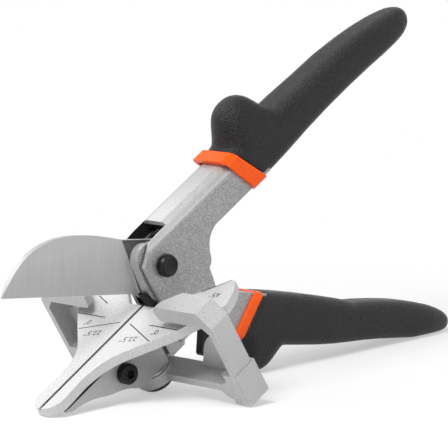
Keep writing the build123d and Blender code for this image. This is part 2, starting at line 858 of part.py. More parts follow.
def make_grip(plane, base, reach, section_shares, bump_reach, bump_rise, rear, core):
    """Moulded grip with a finger bump, filling the space round its metal core."""
    square = Plane(origin=plane.origin, x_dir=plane.z_dir, z_dir=plane.x_dir)
    way = square.y_dir.dot(plane.y_dir)
    with BuildPart() as grip:
        for place, low, high, half, corner in section_shares:
            along = grip_front + place * (reach - grip_front)
            with BuildSketch(square.offset(along)):
                with Locations((0, way * (base + (low + high) / 2 * grip_height))):
                    RectangleRounded(
                        2 * half * grip_half_width, (high - low) * grip_height, corner * grip_round
                    )
        loft(ruled=True)
        level = Plane(origin=plane.origin, x_dir=plane.x_dir, z_dir=plane.y_dir)
        level = level.offset(base + grip_height)
        with BuildPart(mode=Mode.PRIVATE) as hump:
            for height, middle, length, half in bump_section_shares:
                with BuildSketch(level.offset(height * bump_rise)):
                    with Locations((bump_reach + middle * bump_half_length, 0)):
                        half_width = half * grip_half_width
                        RectangleRounded(
                            2 * length * bump_half_length, 2 * half_width, bump_corner_share * half_width
                        )
            loft(ruled=True)
        add(hump.part)
        with BuildSketch(plane):
            with BuildLine():
                Polyline(
                    *rear,
                    (rear[-1][0], base + 2 * grip_height),
                    (0, base + 2 * grip_height),
                    (0, base - grip_height),
                    (rear[0][0], base - grip_height),
                    close=True,
                )
            make_face()
        extrude(amount=2 * grip_half_width, both=True, mode=Mode.SUBTRACT)
        add(core, mode=Mode.SUBTRACT)
    return grip.part


upper_plane = pivot_side()
lower_plane = outward_side(handle_turn)
rim_low = channel_rim - pivot_height
rim_high = channel_top - pivot_height
upper_low = grip_inner_upper - collar_margin
upper_high = grip_inner_upper + grip_height + collar_margin
upper_front = [(upper_collar_reach + upper_collar_slant, upper_low), (upper_collar_reach, upper_high)]
upper_rear_high = upper_collar_reach + upper_collar_length
upper_rear = [(upper_rear_high + upper_grip_slant, upper_low), (upper_rear_high, upper_high)]
upper_collar = make_collar(
    upper_plane, grip_inner_upper, 0, 1, upper_front, upper_rear, rim_low, rim_high, channel_half_width,
)
save(upper_collar, "upper_collar")
upper_grip = make_grip(
    upper_plane, grip_inner_upper, handle_reach, upper_section_shares,
    bump_reach_upper, bump_rise_upper, upper_rear, upper_channel.part,
)
save(upper_grip, "upper_grip")
lower_low = grip_inner_lower - collar_margin
lower_high = grip_inner_lower + grip_height + collar_margin
lower_front = [(lower_collar_reach, lower_low), (lower_collar_reach - lower_collar_slant, lower_high)]
lower_rear_low = lower_collar_reach + lower_collar_length
lower_rear = [(lower_rear_low, lower_low), (lower_rear_low - lower_grip_slant, lower_high)]
lower_collar = make_collar(
    lower_plane, grip_inner_lower, handle_turn, -1, lower_front, lower_rear,
    stem_inner, stem_outer, stem_half_width,
)
save(lower_collar, "lower_collar")
lower_grip = make_grip(
    lower_plane, grip_inner_lower, lower_reach, lower_section_shares,
    bump_reach_lower, bump_rise_lower, lower_rear, lower_lever.part,
)
save(lower_grip, "lower_grip")

# Fence: cast bracket round the table, its front face through the mitre point.
gusset_shares = [(0.2, -0.98), (0.47, -0.79), (0.58, -0.49), (0.70, -0.30), (0.95, -0.22)]
gusset = scaled(gusset_shares, fence_half_width, bar_bottom)
arm_inner = fence_half_width - fence_wall
with BuildPart() as fence_bracket:
    with BuildSketch(across(0)):
        with BuildLine():
            Polyline(
                (0, -bar_bottom),
                (foot_inner - foot_rise, -bar_bottom),
                (foot_inner, -foot_drop + foot_rise),
                (fence_half_width, -foot_drop),
                (fence_half_width, nose_bottom),
                (fence_half_width - nose_bevel, nose_top),
                (nose_inner, nose_top),
                (nose_inner, nose_bottom),
                (arm_inner - nose_bottom, nose_bottom),
                (arm_inner, 0),
                (arm_inner, -foot_top),
                (foot_inner, -bar_top),
                (0, -bar_top),
                close=True,
            )
        make_face()
        rounded = [
            (nose_inner, nose_bottom),
            (nose_inner, nose_top),
            (fence_half_width, -foot_drop),
            (fence_half_width, nose_bottom),
            (arm_inner, 0),
        ]
        corners = [v for v in vertices() if (round(v.X, 3), round(v.Y, 3)) in rounded]
        fillet(corners, radius=nose_round)
        mirror(about=Plane.YZ)
    extrude(amount=fence_depth)
    for way in (-1, 1):
        with BuildSketch(deck(0)):
            with BuildLine():
                Polyline(
                    (nose_land, way * nose_inner),
                    (fence_depth + overrun, way * (nose_inner + fence_depth + overrun - nose_land)),
                    (fence_depth + overrun, way * (nose_inner - overrun)),
                    (nose_land, way * (nose_inner - overrun)),
                    close=True,
                )
            make_face()
        extrude(amount=nose_top + overrun, mode=Mode.SUBTRACT)
    with BuildSketch(across(fence_depth - web_thickness)):
        with BuildLine():
            Spline(*gusset)
            Polyline(
                gusset[-1],
                (fence_half_width - fence_wall / 2, gusset[-1][1]),
                (fence_half_width - fence_wall / 2, -bar_bottom),
                (0, -bar_bottom),
                (0, gusset[0][1]),
                gusset[0],
            )
        make_face()
        mirror(about=Plane.YZ)
    extrude(amount=web_thickness)
    with BuildSketch(deck(-bar_bottom)):
        Circle(boss_radius)
    extrude(amount=bar_bottom - boss_top)
    with BuildSketch(deck(-bar_bottom)):
        Circle(fence_bolt_radius + running_gap)
    extrude(amount=bar_bottom - boss_top, mode=Mode.SUBTRACT)
    for way in (-1, 1):
        corner = fence_half_width - foot_inner
        with BuildSketch(deck(-foot_drop)):
            with Locations((foot_pad_depth / 2, way * (fence_half_width + foot_pad - corner / 2))):
                RectangleRounded(foot_pad_depth, corner, foot_round)
        extrude(amount=foot_drop - foot_top)
save(fence_bracket.part, "fence_bracket")

# Fence pivot: shoulder screw from below and a washer against the carrier.
with BuildPart() as fence_pivot_screw:
    with BuildSketch(deck(-bar_bottom - running_gap)):
        Circle(fence_head_radius)
    extrude(amount=-fence_head_height)
    dome = fence_pivot_screw.faces().sort_by(Axis((0, 0, 0), (-sin_tilt, 0, cos_tilt)))[0].edges()
    chamfer(dome, length=fence_head_bevel)
    with BuildSketch(deck(-bar_bottom - running_gap)):
        Circle(fence_bolt_radius)
    extrude(amount=bar_bottom + running_gap - keel_depth)
    with BuildSketch(deck(-keel_depth)):
        Circle(fence_thread_radius)
    extrude(amount=fence_thread_length)
save(fence_pivot_screw.part, "fence_pivot_screw")

with BuildPart() as fence_washer:
    with BuildSketch(deck(-boss_top + running_gap)):
        Circle(fence_washer_radius)
        Circle(fence_bolt_radius, mode=Mode.SUBTRACT)
    extrude(amount=boss_top - running_gap - keel_depth)
save(fence_washer.part, "fence_washer")
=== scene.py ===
import bmesh
import bpy
import json
import math
from mathutils import Matrix, Vector


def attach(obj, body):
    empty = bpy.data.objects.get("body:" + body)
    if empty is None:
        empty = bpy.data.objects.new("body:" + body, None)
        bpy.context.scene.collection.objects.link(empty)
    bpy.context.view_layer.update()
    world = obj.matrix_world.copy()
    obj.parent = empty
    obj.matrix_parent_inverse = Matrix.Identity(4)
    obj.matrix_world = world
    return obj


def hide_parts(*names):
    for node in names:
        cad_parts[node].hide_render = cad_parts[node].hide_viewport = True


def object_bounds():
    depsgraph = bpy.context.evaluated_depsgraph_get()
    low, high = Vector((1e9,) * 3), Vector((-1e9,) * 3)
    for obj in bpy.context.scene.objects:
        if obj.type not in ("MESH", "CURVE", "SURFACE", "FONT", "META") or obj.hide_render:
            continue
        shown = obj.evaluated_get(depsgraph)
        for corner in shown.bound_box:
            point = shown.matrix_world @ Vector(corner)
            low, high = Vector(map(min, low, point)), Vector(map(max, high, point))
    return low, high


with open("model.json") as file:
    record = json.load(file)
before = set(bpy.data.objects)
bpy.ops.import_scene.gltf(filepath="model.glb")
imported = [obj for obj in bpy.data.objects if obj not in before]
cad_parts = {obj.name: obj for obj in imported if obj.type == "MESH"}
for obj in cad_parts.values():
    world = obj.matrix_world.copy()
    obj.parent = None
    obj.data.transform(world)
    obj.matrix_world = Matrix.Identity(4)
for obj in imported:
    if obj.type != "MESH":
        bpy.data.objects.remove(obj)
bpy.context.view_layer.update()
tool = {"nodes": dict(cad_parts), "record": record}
parts = tool["nodes"]

# Work table: a die-cast zinc plate with a tip arm, two wings and the blade slot.
# It is shot-blasted and lacquered silver grey, with its edges broken by tumbling,
# and its top is rubbed bright. It slopes while the tool stands on its fence feet.
MM = 0.001
TABLE_SLOPE = math.radians(30.4)


def table_way(along, aside, up):
    """Direction given along, across and square to the work table."""
    return Vector((
        along * math.cos(TABLE_SLOPE) - up * math.sin(TABLE_SLOPE),
        aside,
        along * math.sin(TABLE_SLOPE) + up * math.cos(TABLE_SLOPE),
    ))


def table_spot(along, aside, up):
    """Point given in millimetres along, across and square to the work table."""
    return table_way(along, aside, up) * MM


def turned_to(first, second, third):
    """Turn that carries the three axes onto three directions."""
    return Matrix((first, second, third)).transposed().to_4x4()


TABLE_TURN = turned_to(table_way(1, 0, 0), table_way(0, 1, 0), table_way(0, 0, 1))


def tone_between(tree, factor, dark, light, start=0.3, end=0.7):
    """Tone that runs from dark to light with a factor."""
    tone = tree.nodes.new("ShaderNodeValToRGB")
    tone.color_ramp.elements[0].position = start
    tone.color_ramp.elements[1].position = end
    tone.color_ramp.elements[0].color = (*dark, 1)
    tone.color_ramp.elements[1].color = (*light, 1)
    tree.links.new(factor, tone.inputs["Fac"])
    return tone.outputs["Color"]


def speckle(tree, place, scale, detail=2.0, draw_out=None):
    """Noise on the piece's own coordinates, drawn out where scales for it are given."""
    if draw_out is not None:
        draw = tree.nodes.new("ShaderNodeMapping")
        draw.inputs["Scale"].default_value = draw_out
        tree.links.new(place, draw.inputs["Vector"])
        place = draw.outputs["Vector"]
    grain = tree.nodes.new("ShaderNodeTexNoise")
    grain.inputs["Scale"].default_value = scale
    grain.inputs["Detail"].default_value = detail
    tree.links.new(place, grain.inputs["Vector"])
    return grain.outputs["Fac"]


CLOUD_DETAIL = 3.0
TONE_START = 0.36
TONE_END = 0.64
GLOSS_SPREAD = 0.06


def finish(name, dark, light, rough, metallic, grain, relief, depth,
           patch=55.0, grain_share=0.5, shine=0.5):
    """Surface finish, as a cloudy tone with a fine grain that is also felt in gloss and relief.

    Dark and light are the ends of the tone. Grain and patch are how fine the grain and
    the clouds are, and depth is the grain's height in millimetres.
    """
    material = bpy.data.materials.new(name)
    material.use_nodes = True
    tree = material.node_tree
    tree.nodes.clear()
    output = tree.nodes.new("ShaderNodeOutputMaterial")
    shader = tree.nodes.new("ShaderNodeBsdfPrincipled")
    place = tree.nodes.new("ShaderNodeTexCoord").outputs["Object"]
    tree.links.new(shader.outputs["BSDF"], output.inputs["Surface"])
    cloud = speckle(tree, place, patch, CLOUD_DETAIL)
    fine = speckle(tree, place, grain)
    both = tree.nodes.new("ShaderNodeMix")
    both.inputs["Factor"].default_value = grain_share
    tree.links.new(cloud, both.inputs["A"])
    tree.links.new(fine, both.inputs["B"])
    tone = tone_between(tree, both.outputs["Result"], dark, light, TONE_START, TONE_END)
    gloss = tone_between(tree, fine, (rough - GLOSS_SPREAD,) * 3, (rough + GLOSS_SPREAD,) * 3)
    tree.links.new(tone, shader.inputs["Base Color"])
    tree.links.new(gloss, shader.inputs["Roughness"])
    shader.inputs["Metallic"].default_value = metallic
    shader.inputs["Specular IOR Level"].default_value = shine
    pits = tree.nodes.new("ShaderNodeBump")
    pits.inputs["Strength"].default_value = relief
    pits.inputs["Distance"].default_value = depth * MM
    tree.links.new(fine, pits.inputs["Height"])
    tree.links.new(pits.outputs["Normal"], shader.inputs["Normal"])
    return material


home = {
    node: body
    for body, group in tool["record"]["behaviour"]["bodies"].items()
    for node in group
}


def put_in_place(piece, name):
    """Hands a finished piece to the body of the solid that it dresses."""
    bpy.context.scene.collection.objects.link(piece)
    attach(piece, home[name])
    return piece


WELD = 0.01
LEVEL_TURN = math.radians(0.4)
SMOOTH_TURN = math.radians(32)
BROKEN_TURN = math.radians(38)
BREAK_STEPS = 3


def merged_shell(name):
    """Loose triangles of a solid, joined at their corners."""
    shell = bmesh.new()
    shell.from_mesh(parts[name].data)
    bmesh.ops.remove_doubles(shell, verts=shell.verts, dist=WELD * MM)
    return shell


def mesh_from(shell, name):
    """Mesh of an edited shell, which is then let go."""
    mesh = bpy.data.meshes.new(name)
    shell.to_mesh(mesh)
    shell.free()
    return mesh


def skin_of(name, look, edge_round):
    """Skin of a solid, smooth over its curves, with its sharp edges broken."""
    shell = merged_shell(name)
    bmesh.ops.dissolve_limit(shell, angle_limit=LEVEL_TURN, verts=shell.verts, edges=shell.edges)
    for face in shell.faces:
        face.smooth = True
    for edge in shell.edges:
        edge.smooth = len(edge.link_faces) == 2 and edge.calc_face_angle(0) < SMOOTH_TURN
    skin = mesh_from(shell, f"{name}_skin")
    skin.materials.append(look)
    piece = bpy.data.objects.new(f"{name}_skin", skin)
    broken = piece.modifiers.new("broken_edges", "BEVEL")
    broken.width = edge_round * MM
    broken.segments = BREAK_STEPS
    broken.limit_method = "ANGLE"
    broken.angle_limit = BROKEN_TURN
    broken.loop_slide = False
    broken.harden_normals = True
    put_in_place(piece, name)
    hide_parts(name)
    return piece


table_metal = finish(
    "table_metal", (0.48, 0.48, 0.483), (0.62, 0.62, 0.623), rough=0.5, metallic=0.3,
    grain=1500, relief=0.25, depth=0.15, patch=30, grain_share=0.75,
)
skin_of("work_table", table_metal, edge_round=0.3)


# Angle marks: fine black lines, pad-printed on the table, that point to the mitre point.
# They stand every 22.5 degrees on both wings, and each is as long as its place allows.
# The list gives each line's step, and its inner and outer reach from that point.
MARK_STEP = math.radians(22.5)
MARK_WIDTH = 0.5
MARK_LIFT = 0.03
MARK_REACHES = [(-1, 3.1, 22.5), (0, 13.0, 29.4), (1, 20.5, 29.4), (2, 32.1, 45.4)]
mark_ink = finish(
    "mark_ink", (0.02, 0.02, 0.02), (0.05, 0.05, 0.05), rough=0.6, metallic=0.0,
    grain=600, relief=0.05, depth=0.1,
)


def worked_out(tree, operation, first, second):
    """Sum worked out by a node from two sockets or plain numbers."""
    step = tree.nodes.new("ShaderNodeMath")
    step.operation = operation
    for socket, value in zip(step.inputs, (first, second)):
        if isinstance(value, (int, float)):
            socket.default_value = value
        else:
            tree.links.new(value, socket)
    return step.outputs[0]


def ray_tree(look):
    """Geometry Nodes tree: one printed line on each wing, drawn out from the mitre point."""
    tree = bpy.data.node_groups.new("angle_ray", "GeometryNodeTree")
    face = tree.interface
    face.new_socket("Geometry", in_out="INPUT", socket_type="NodeSocketGeometry")
    for words in ("Angle", "Inner Reach", "Outer Reach", "Width"):
        face.new_socket(words, in_out="INPUT", socket_type="NodeSocketFloat")
    face.new_socket("Geometry", in_out="OUTPUT", socket_type="NodeSocketGeometry")
    given = tree.nodes.new("NodeGroupInput")
    result = tree.nodes.new("NodeGroupOutput")
    join = tree.nodes.new("GeometryNodeJoinGeometry")
    real = tree.nodes.new("GeometryNodeRealizeInstances")
    paint = tree.nodes.new("GeometryNodeSetMaterial")
    paint.inputs["Material"].default_value = look
    inner = given.outputs["Inner Reach"]
    outer = given.outputs["Outer Reach"]
    length = worked_out(tree, "SUBTRACT", outer, inner)
    middle = worked_out(tree, "MULTIPLY", worked_out(tree, "ADD", outer, inner), 0.5)
    tree.links.new(given.outputs["Geometry"], join.inputs["Geometry"])
    for wing in (-1, 1):
        bar = tree.nodes.new("GeometryNodeMeshGrid")
        bar.inputs["Vertices X"].default_value = 2
        bar.inputs["Vertices Y"].default_value = 2
        tree.links.new(given.outputs["Width"], bar.inputs["Size X"])
        tree.links.new(length, bar.inputs["Size Y"])
        out = tree.nodes.new("GeometryNodeTransform")
        shift = tree.nodes.new("ShaderNodeCombineXYZ")
        tree.links.new(worked_out(tree, "MULTIPLY", middle, wing), shift.inputs["Y"])
        tree.links.new(shift.outputs["Vector"], out.inputs["Translation"])
        tree.links.new(bar.outputs["Mesh"], out.inputs["Geometry"])
        swing = tree.nodes.new("GeometryNodeTransform")
        turn = tree.nodes.new("ShaderNodeCombineXYZ")
        angle = worked_out(tree, "MULTIPLY", given.outputs["Angle"], -wing)
        tree.links.new(angle, turn.inputs["Z"])
        tree.links.new(turn.outputs["Vector"], swing.inputs["Rotation"])
        tree.links.new(out.outputs["Geometry"], swing.inputs["Geometry"])
        tree.links.new(swing.outputs["Geometry"], join.inputs["Geometry"])
    tree.links.new(join.outputs["Geometry"], real.inputs["Geometry"])
    tree.links.new(real.outputs["Geometry"], paint.inputs["Geometry"])
    tree.links.new(paint.outputs["Geometry"], result.inputs["Geometry"])
    return tree


def grown_mesh(source, name):
    """Plain mesh of what an object's modifiers or text make."""
    bpy.context.view_layer.update()
    grown = source.evaluated_get(bpy.context.evaluated_depsgraph_get())
    mesh = bpy.data.meshes.new_from_object(grown)
    mesh.name = name
    bpy.data.objects.remove(source)
    return mesh


rays = bpy.data.objects.new("ray_source", bpy.data.meshes.new("ray_source"))
bpy.context.scene.collection.objects.link(rays)
angle_ray = ray_tree(mark_ink)
sockets = {
    item.name: item.identifier
    for item in angle_ray.interface.items_tree
    if item.in_out == "INPUT"
}
for step, inner_reach, outer_reach in MARK_REACHES:
    ray = rays.modifiers.new(f"ray_{step}", "NODES")
    ray.node_group = angle_ray
    ray[sockets["Angle"]] = step * MARK_STEP
    ray[sockets["Inner Reach"]] = inner_reach * MM
    ray[sockets["Outer Reach"]] = outer_reach * MM
    ray[sockets["Width"]] = MARK_WIDTH * MM
ray_mesh = grown_mesh(rays, "angle_marks")
ray_mesh.transform(TABLE_TURN @ Matrix.Translation((0, 0, MARK_LIFT * MM)))
angle_marks = bpy.data.objects.new("angle_marks", ray_mesh)
bpy.context.scene.collection.objects.link(angle_marks)
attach(angle_marks, "frame")


# Angle figures: plain numbers that name the lines, printed with them in the same ink.
# They are read from the handles' side. The list gives each one's middle on the table.
FIGURE_HEIGHT = 4.0
FIGURE_TURN = math.radians(105)
FIGURES = [
    ("22.5°", -9.4, -9.6), ("0°", -3.2, -19.2), ("0°", -4.1, 19.5),
    ("22.5°", -9.6, 11.3), ("45°", 22.3, -30.5), ("45°", 22.3, 30.5),
]
for count, (words, along, aside) in enumerate(FIGURES):
    letters = bpy.data.curves.new(f"letters_{count}", "FONT")
    letters.body = words
    letters.size = FIGURE_HEIGHT * MM
    letters.align_x = "CENTER"
    letters.align_y = "CENTER"
    source = bpy.data.objects.new(f"letters_{count}", letters)
    bpy.context.scene.collection.objects.link(source)
    figure_mesh = grown_mesh(source, f"angle_figure_{count}")
    lift = Matrix.Translation((along * MM, aside * MM, MARK_LIFT * MM))
    figure_mesh.transform(TABLE_TURN @ lift @ Matrix.Rotation(FIGURE_TURN, 4, "Z"))
    figure_mesh.materials.clear()
    figure_mesh.materials.append(mark_ink)
    figure = bpy.data.objects.new(f"angle_figure_{count}", figure_mesh)
    bpy.context.scene.collection.objects.link(figure)
    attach(figure, "frame")


# Anvil insert: the replaceable cutting strip, moulded in black nylon.
# It is slid into the slot from behind, and its head stands in the throat.
nylon = finish(
    "nylon", (0.004, 0.004, 0.005), (0.010, 0.010, 0.011), rough=0.55, metallic=0.0,
    grain=900, relief=0.2, depth=0.2, shine=0.15,
)
skin_of("anvil_insert", nylon, edge_round=0.15)


# Anvil holder: the front keel, die-cast like the table and tumbled with it, but painted darker as
# painted shade under the table.
# It clamps the insert from below, and a socket cap screw draws it to the nut behind.
# Painted shade: the table's metal made darker for the shade under the table.
painted_shade_keel_metal = finish(
    "painted_shade_keel_metal", (0.30, 0.30, 0.303), (0.44, 0.44, 0.443), rough=0.46, metallic=0.4,
    grain=2000, relief=0.45, depth=0.25, patch=30, grain_share=0.8,
)
black_oxide = finish(
    "black_oxide", (0.004, 0.004, 0.005), (0.010, 0.010, 0.012), rough=0.3, metallic=0.1,
    grain=1200, relief=0.15, depth=0.2, shine=0.25,
)


def look_of(name, look):
    """A solid whose shape is right already takes its finish."""
    parts[name].data.materials.clear()
    parts[name].data.materials.append(look)


skin_of("anvil_holder", painted_shade_keel_metal, edge_round=0.5)
skin_of("anvil_screw", black_oxide, edge_round=0.2)
look_of("anvil_nut", black_oxide)


# Table carrier: the rear keel, cast in the same metal and held by two rivets.
# Four screws from below fix the table to both keels, and their heads are hidden.
zinc_plate = finish(
    "zinc_plate", (0.34, 0.34, 0.35), (0.5, 0.5, 0.51), rough=0.32, metallic=0.85,
    grain=700, relief=0.1, depth=0.2,
)
# The carrier takes the same painted shade as the front keel.
skin_of("table_carrier", painted_shade_keel_metal, edge_round=0.4)
look_of("table_screws", black_oxide)
look_of("carrier_rivets", zinc_plate)


# Upper channel: pressed from 2 mm steel sheet, with the pivot walls in front and the tang
# behind. It is sand-blasted and plated. The web's top, the bends beside it and the sheet's cut
# edges are painted lighter as a painted highlight, and the insides are painted near black as painted
# shade.
CHANNEL_HALF = 8.5
SHEET = 2.0
BEND_START = 21.5
FACE_REACH = 0.2
MOSTLY_INWARD = 0.5
NEARLY_SQUARE = 0.9
HARDLY_ASIDE = 0.3
HARDLY_UP = 0.2
blasted_steel = finish(
    "blasted_steel", (0.21, 0.21, 0.212), (0.40, 0.40, 0.402), rough=0.35, metallic=0.45,
    grain=2300, relief=0.5, depth=0.3, patch=25, grain_share=0.9,
)
# Painted highlight: a lighter copy of the blasted steel for the faces that catch the lamp.
painted_highlight_steel = finish(
    "painted_highlight_steel", (0.34, 0.34, 0.342), (0.48, 0.48, 0.482), rough=0.42, metallic=0.4,
    grain=2000, relief=0.12, depth=0.2, patch=30, grain_share=0.6,
)
# Painted shade: near black for the channel's insides, where shade falls between the walls.
painted_inner_shade = finish(
    "painted_inner_shade", (0.008, 0.008, 0.009), (0.018, 0.018, 0.019), rough=0.6, metallic=0.0,
    grain=1200, relief=0.2, depth=0.2, shine=0.2,
)


def other_look(piece, look, wanted):
    """Faces picked by middle and direction, both seen from the table, take another finish."""
    piece.data.materials.append(look)
    from_table = TABLE_TURN.to_3x3().transposed()
    for face in piece.data.polygons:
        if wanted(from_table @ face.center / MM, from_table @ face.normal):
            face.material_index = len(piece.data.materials) - 1


def is_cut_edge(middle, way):
    """Edge of the sheet, which looks neither to the near nor to the far side."""
    return abs(way.y) < HARDLY_ASIDE


def takes_painted_highlight(middle, way):
    """Faces that take the painted highlight: cut edges, the web's top and the bends beside it."""
    return is_cut_edge(middle, way) or (middle.z > BEND_START and way.z > HARDLY_UP)


def is_inside(middle, way):
    """Inner sides of the two walls and the web's underside."""
    between_walls = abs(middle.y) < CHANNEL_HALF - SHEET + FACE_REACH
    inward = way.y * middle.y < -MOSTLY_INWARD * abs(middle.y)
    return between_walls and (inward or way.z < -NEARLY_SQUARE)


channel = skin_of("upper_channel", blasted_steel, edge_round=0.35)
# Painted highlight on the cut edges, the web's top and its bends, and painted shade inside.
other_look(channel, painted_highlight_steel, takes_painted_highlight)
other_look(channel, painted_inner_shade, is_inside)


# Pivot: a blackened shoulder bolt with a turned head, its nut, a plain steel bush
# between the walls and a thin washer beside the near cheek. The bolt is pushed
# through from the near side and the nut is screwed on behind.
PIVOT_ALONG = 22.5
PIVOT_UP = 11.8
BOLT_PROFILE = [
    (0.0, 3.05), (2.6, 3.05), (2.85, 3.1), (3.05, 3.32), (3.25, 3.4), (3.7, 3.4), (4.1, 3.22),
    (4.28, 2.85), (4.3, 2.55), (4.45, 2.4), (4.6, 2.15), (4.6, 0.2), (4.45, 0.0), (2.5, 0.0),
    (2.5, -20.4), (0.0, -20.4),
]
TURN_STEPS = 64
TURNED_CORNER = math.radians(50)


def turned_piece(name, profile, look):
    """Piece turned round the pivot's line.

    The profile runs from the hollow in the head to the far end, and each of its points
    is a radius and a height over the near wall.
    """
    lathe = bmesh.new()
    rings = []
    for radius, height in profile:
        ring = []
        for step in range(TURN_STEPS if radius else 1):
            angle = math.tau * step / TURN_STEPS
            along = PIVOT_ALONG + radius * math.cos(angle)
            up = PIVOT_UP + radius * math.sin(angle)
            ring.append(lathe.verts.new(table_spot(along, -CHANNEL_HALF - height, up)))
        rings.append(ring)
    for inner, outer in zip(rings, rings[1:]):
        for step in range(TURN_STEPS):
            after = (step + 1) % TURN_STEPS
            corners = [
                inner[step % len(inner)], outer[step % len(outer)],
                outer[after % len(outer)], inner[after % len(inner)],
            ]
            lathe.faces.new(list(dict.fromkeys(corners)))
    bmesh.ops.recalc_face_normals(lathe, faces=lathe.faces)
    for face in lathe.faces:
        face.smooth = True
    for edge in lathe.edges:
        edge.smooth = edge.calc_face_angle(0) < TURNED_CORNER
    mesh = mesh_from(lathe, name)
    mesh.materials.append(look)
    return bpy.data.objects.new(name, mesh)


bolt = put_in_place(turned_piece("pivot_bolt_turned", BOLT_PROFILE, black_oxide), "pivot_bolt")
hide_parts("pivot_bolt")
look_of("pivot_nut", black_oxide)
look_of("pivot_bush", zinc_plate)
look_of("thrust_washer", zinc_plate)


# Return spring: a hairpin of 1.4 mm spring wire round the bush, hidden by the walls.
# It is drawn steel, oiled after winding.
spring_wire = finish(
    "spring_wire", (0.2, 0.2, 0.21), (0.32, 0.32, 0.33), rough=0.3, metallic=0.9,
    grain=800, relief=0.05, depth=0.1,
)
look_of("return_spring", spring_wire)


# Upper collar: an orange moulded band between metal and grip, pushed on from the front.
# It is glossy polypropylene with softly rounded rims.
orange = finish(
    "orange", (0.95, 0.09, 0.002), (1.0, 0.115, 0.004), rough=0.34, metallic=0.0,
    grain=500, relief=0.05, depth=0.2, shine=0.2,
)
skin_of("upper_collar", orange, edge_round=0.5)


# Upper grip: black moulded vinyl over the tang, with a finger bump ahead of the palm.
# The mould was spark-eroded, which leaves an even fine grain and soft blends.
GRIP_VOXEL = 0.55
GRIP_EASE = 0.5
GRIP_EASE_STEPS = 45
GRIP_SWELL = 0.5
grip_vinyl = finish(
    "grip_vinyl", (0.002, 0.002, 0.0023), (0.012, 0.012, 0.013), rough=0.38, metallic=0.0,
    grain=1500, relief=1.0, depth=0.6, patch=40, grain_share=0.8, shine=0.26,
)


def moulded_grip(name):
    """Grip skin with its bands and corners run together, as the mould leaves them."""
    source = bpy.data.objects.new(f"{name}_source", mesh_from(merged_shell(name), f"{name}_source"))
    bpy.context.scene.collection.objects.link(source)
    even = source.modifiers.new("even", "REMESH")
    even.mode = "VOXEL"
    even.voxel_size = GRIP_VOXEL * MM
    even.use_smooth_shade = True
    ease = source.modifiers.new("ease", "SMOOTH")
    ease.factor = GRIP_EASE
    ease.iterations = GRIP_EASE_STEPS
    swell = source.modifiers.new("swell", "DISPLACE")
    swell.strength = GRIP_SWELL * MM
    swell.mid_level = 0.0
    mesh = grown_mesh(source, f"{name}_moulded")
    mesh.materials.clear()
    mesh.materials.append(grip_vinyl)
    piece = put_in_place(bpy.data.objects.new(f"{name}_moulded", mesh), name)
    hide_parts(name)


moulded_grip("upper_grip")


# Fence: a die-cast bracket that swings round the table on a shoulder screw.
# It is cast in zinc with rounded edges, tumbled and lacquered silver grey.
fence_metal = finish(
    "fence_metal", (0.38, 0.38, 0.383), (0.52, 0.52, 0.523), rough=0.44, metallic=0.35,
    grain=2000, relief=0.45, depth=0.3, patch=35, grain_share=0.8,
)
skin_of("fence_bracket", fence_metal, edge_round=0.9)
look_of("fence_pivot_screw", black_oxide)
look_of("fence_washer", zinc_plate)


# Blade: a ground tool-steel knife on a thicker tang, riveted between the lever's cheeks.
# Its flats are ground across, which leaves fine upright streaks, and the tang's flats are
# painted dark as painted shade from the channel above them.
TANG_HALF = 1.7
STREAK_SIZE = 70
STREAK_DETAIL = 4.0
STREAK_DRAW_OUT = (16.0, 1.0, 0.8)
STREAK_TONES = ((0.39,) * 3, (0.48,) * 3)
STREAK_GLOSSES = ((0.4,) * 3, (0.5,) * 3)
blade_steel = finish(
    "blade_steel", (0.40, 0.40, 0.402), (0.47, 0.47, 0.472), rough=0.42, metallic=0.4,
    grain=600, relief=0.08, depth=0.1, patch=60, grain_share=0.4,
)
# Painted shade: a dark tone for the tang's flats, standing for the channel's shadow on them.
painted_tang_shade = finish(
    "painted_tang_shade", (0.045, 0.045, 0.046), (0.1, 0.1, 0.102), rough=0.5, metallic=0.3,
    grain=1500, relief=0.3, depth=0.2, patch=40, grain_share=0.7,
)
steel_tree = blade_steel.node_tree
steel = steel_tree.nodes["Principled BSDF"]
steel_place = steel_tree.nodes["Texture Coordinate"].outputs["Object"]
streaks = speckle(steel_tree, steel_place, STREAK_SIZE, STREAK_DETAIL, STREAK_DRAW_OUT)
streak_tone = tone_between(steel_tree, streaks, *STREAK_TONES, start=0.2, end=0.8)
streak_gloss = tone_between(steel_tree, streaks, *STREAK_GLOSSES)
steel_tree.links.new(streak_tone, steel.inputs["Base Color"])
steel_tree.links.new(streak_gloss, steel.inputs["Roughness"])


def is_tang(middle, way):
    """Flats of the tang, which stand proud of the blade's."""
    return abs(middle.y) > TANG_HALF - FACE_REACH and abs(way.y) > NEARLY_SQUARE


blade = skin_of("blade", blade_steel, edge_round=0.06)
other_look(blade, painted_tang_shade, is_tang)
look_of("blade_rivets", zinc_plate)


# Lower lever: pressed and folded steel like the upper channel, with a rounded lobe
# at the pivot and a slot for the blade. The catch turns on a plain pin through it.
lever = skin_of("lower_lever", blasted_steel, edge_round=0.4)
# Its cut edges take the painted highlight.
other_look(lever, painted_highlight_steel, is_cut_edge)
look_of("catch_pin", zinc_plate)


# Lower collar and grip: the same orange band and black vinyl as above.
# Both are pushed and moulded onto the lever's tang, and the grip has a heel in front.
skin_of("lower_collar", orange, edge_round=0.5)
moulded_grip("lower_grip")


# Locking catch: a small blackened steel plate with a thumb tab ahead of the grip.
# It is stamped, and it turns on the pin in the lever.
skin_of("locking_catch", black_oxide, edge_round=0.2)


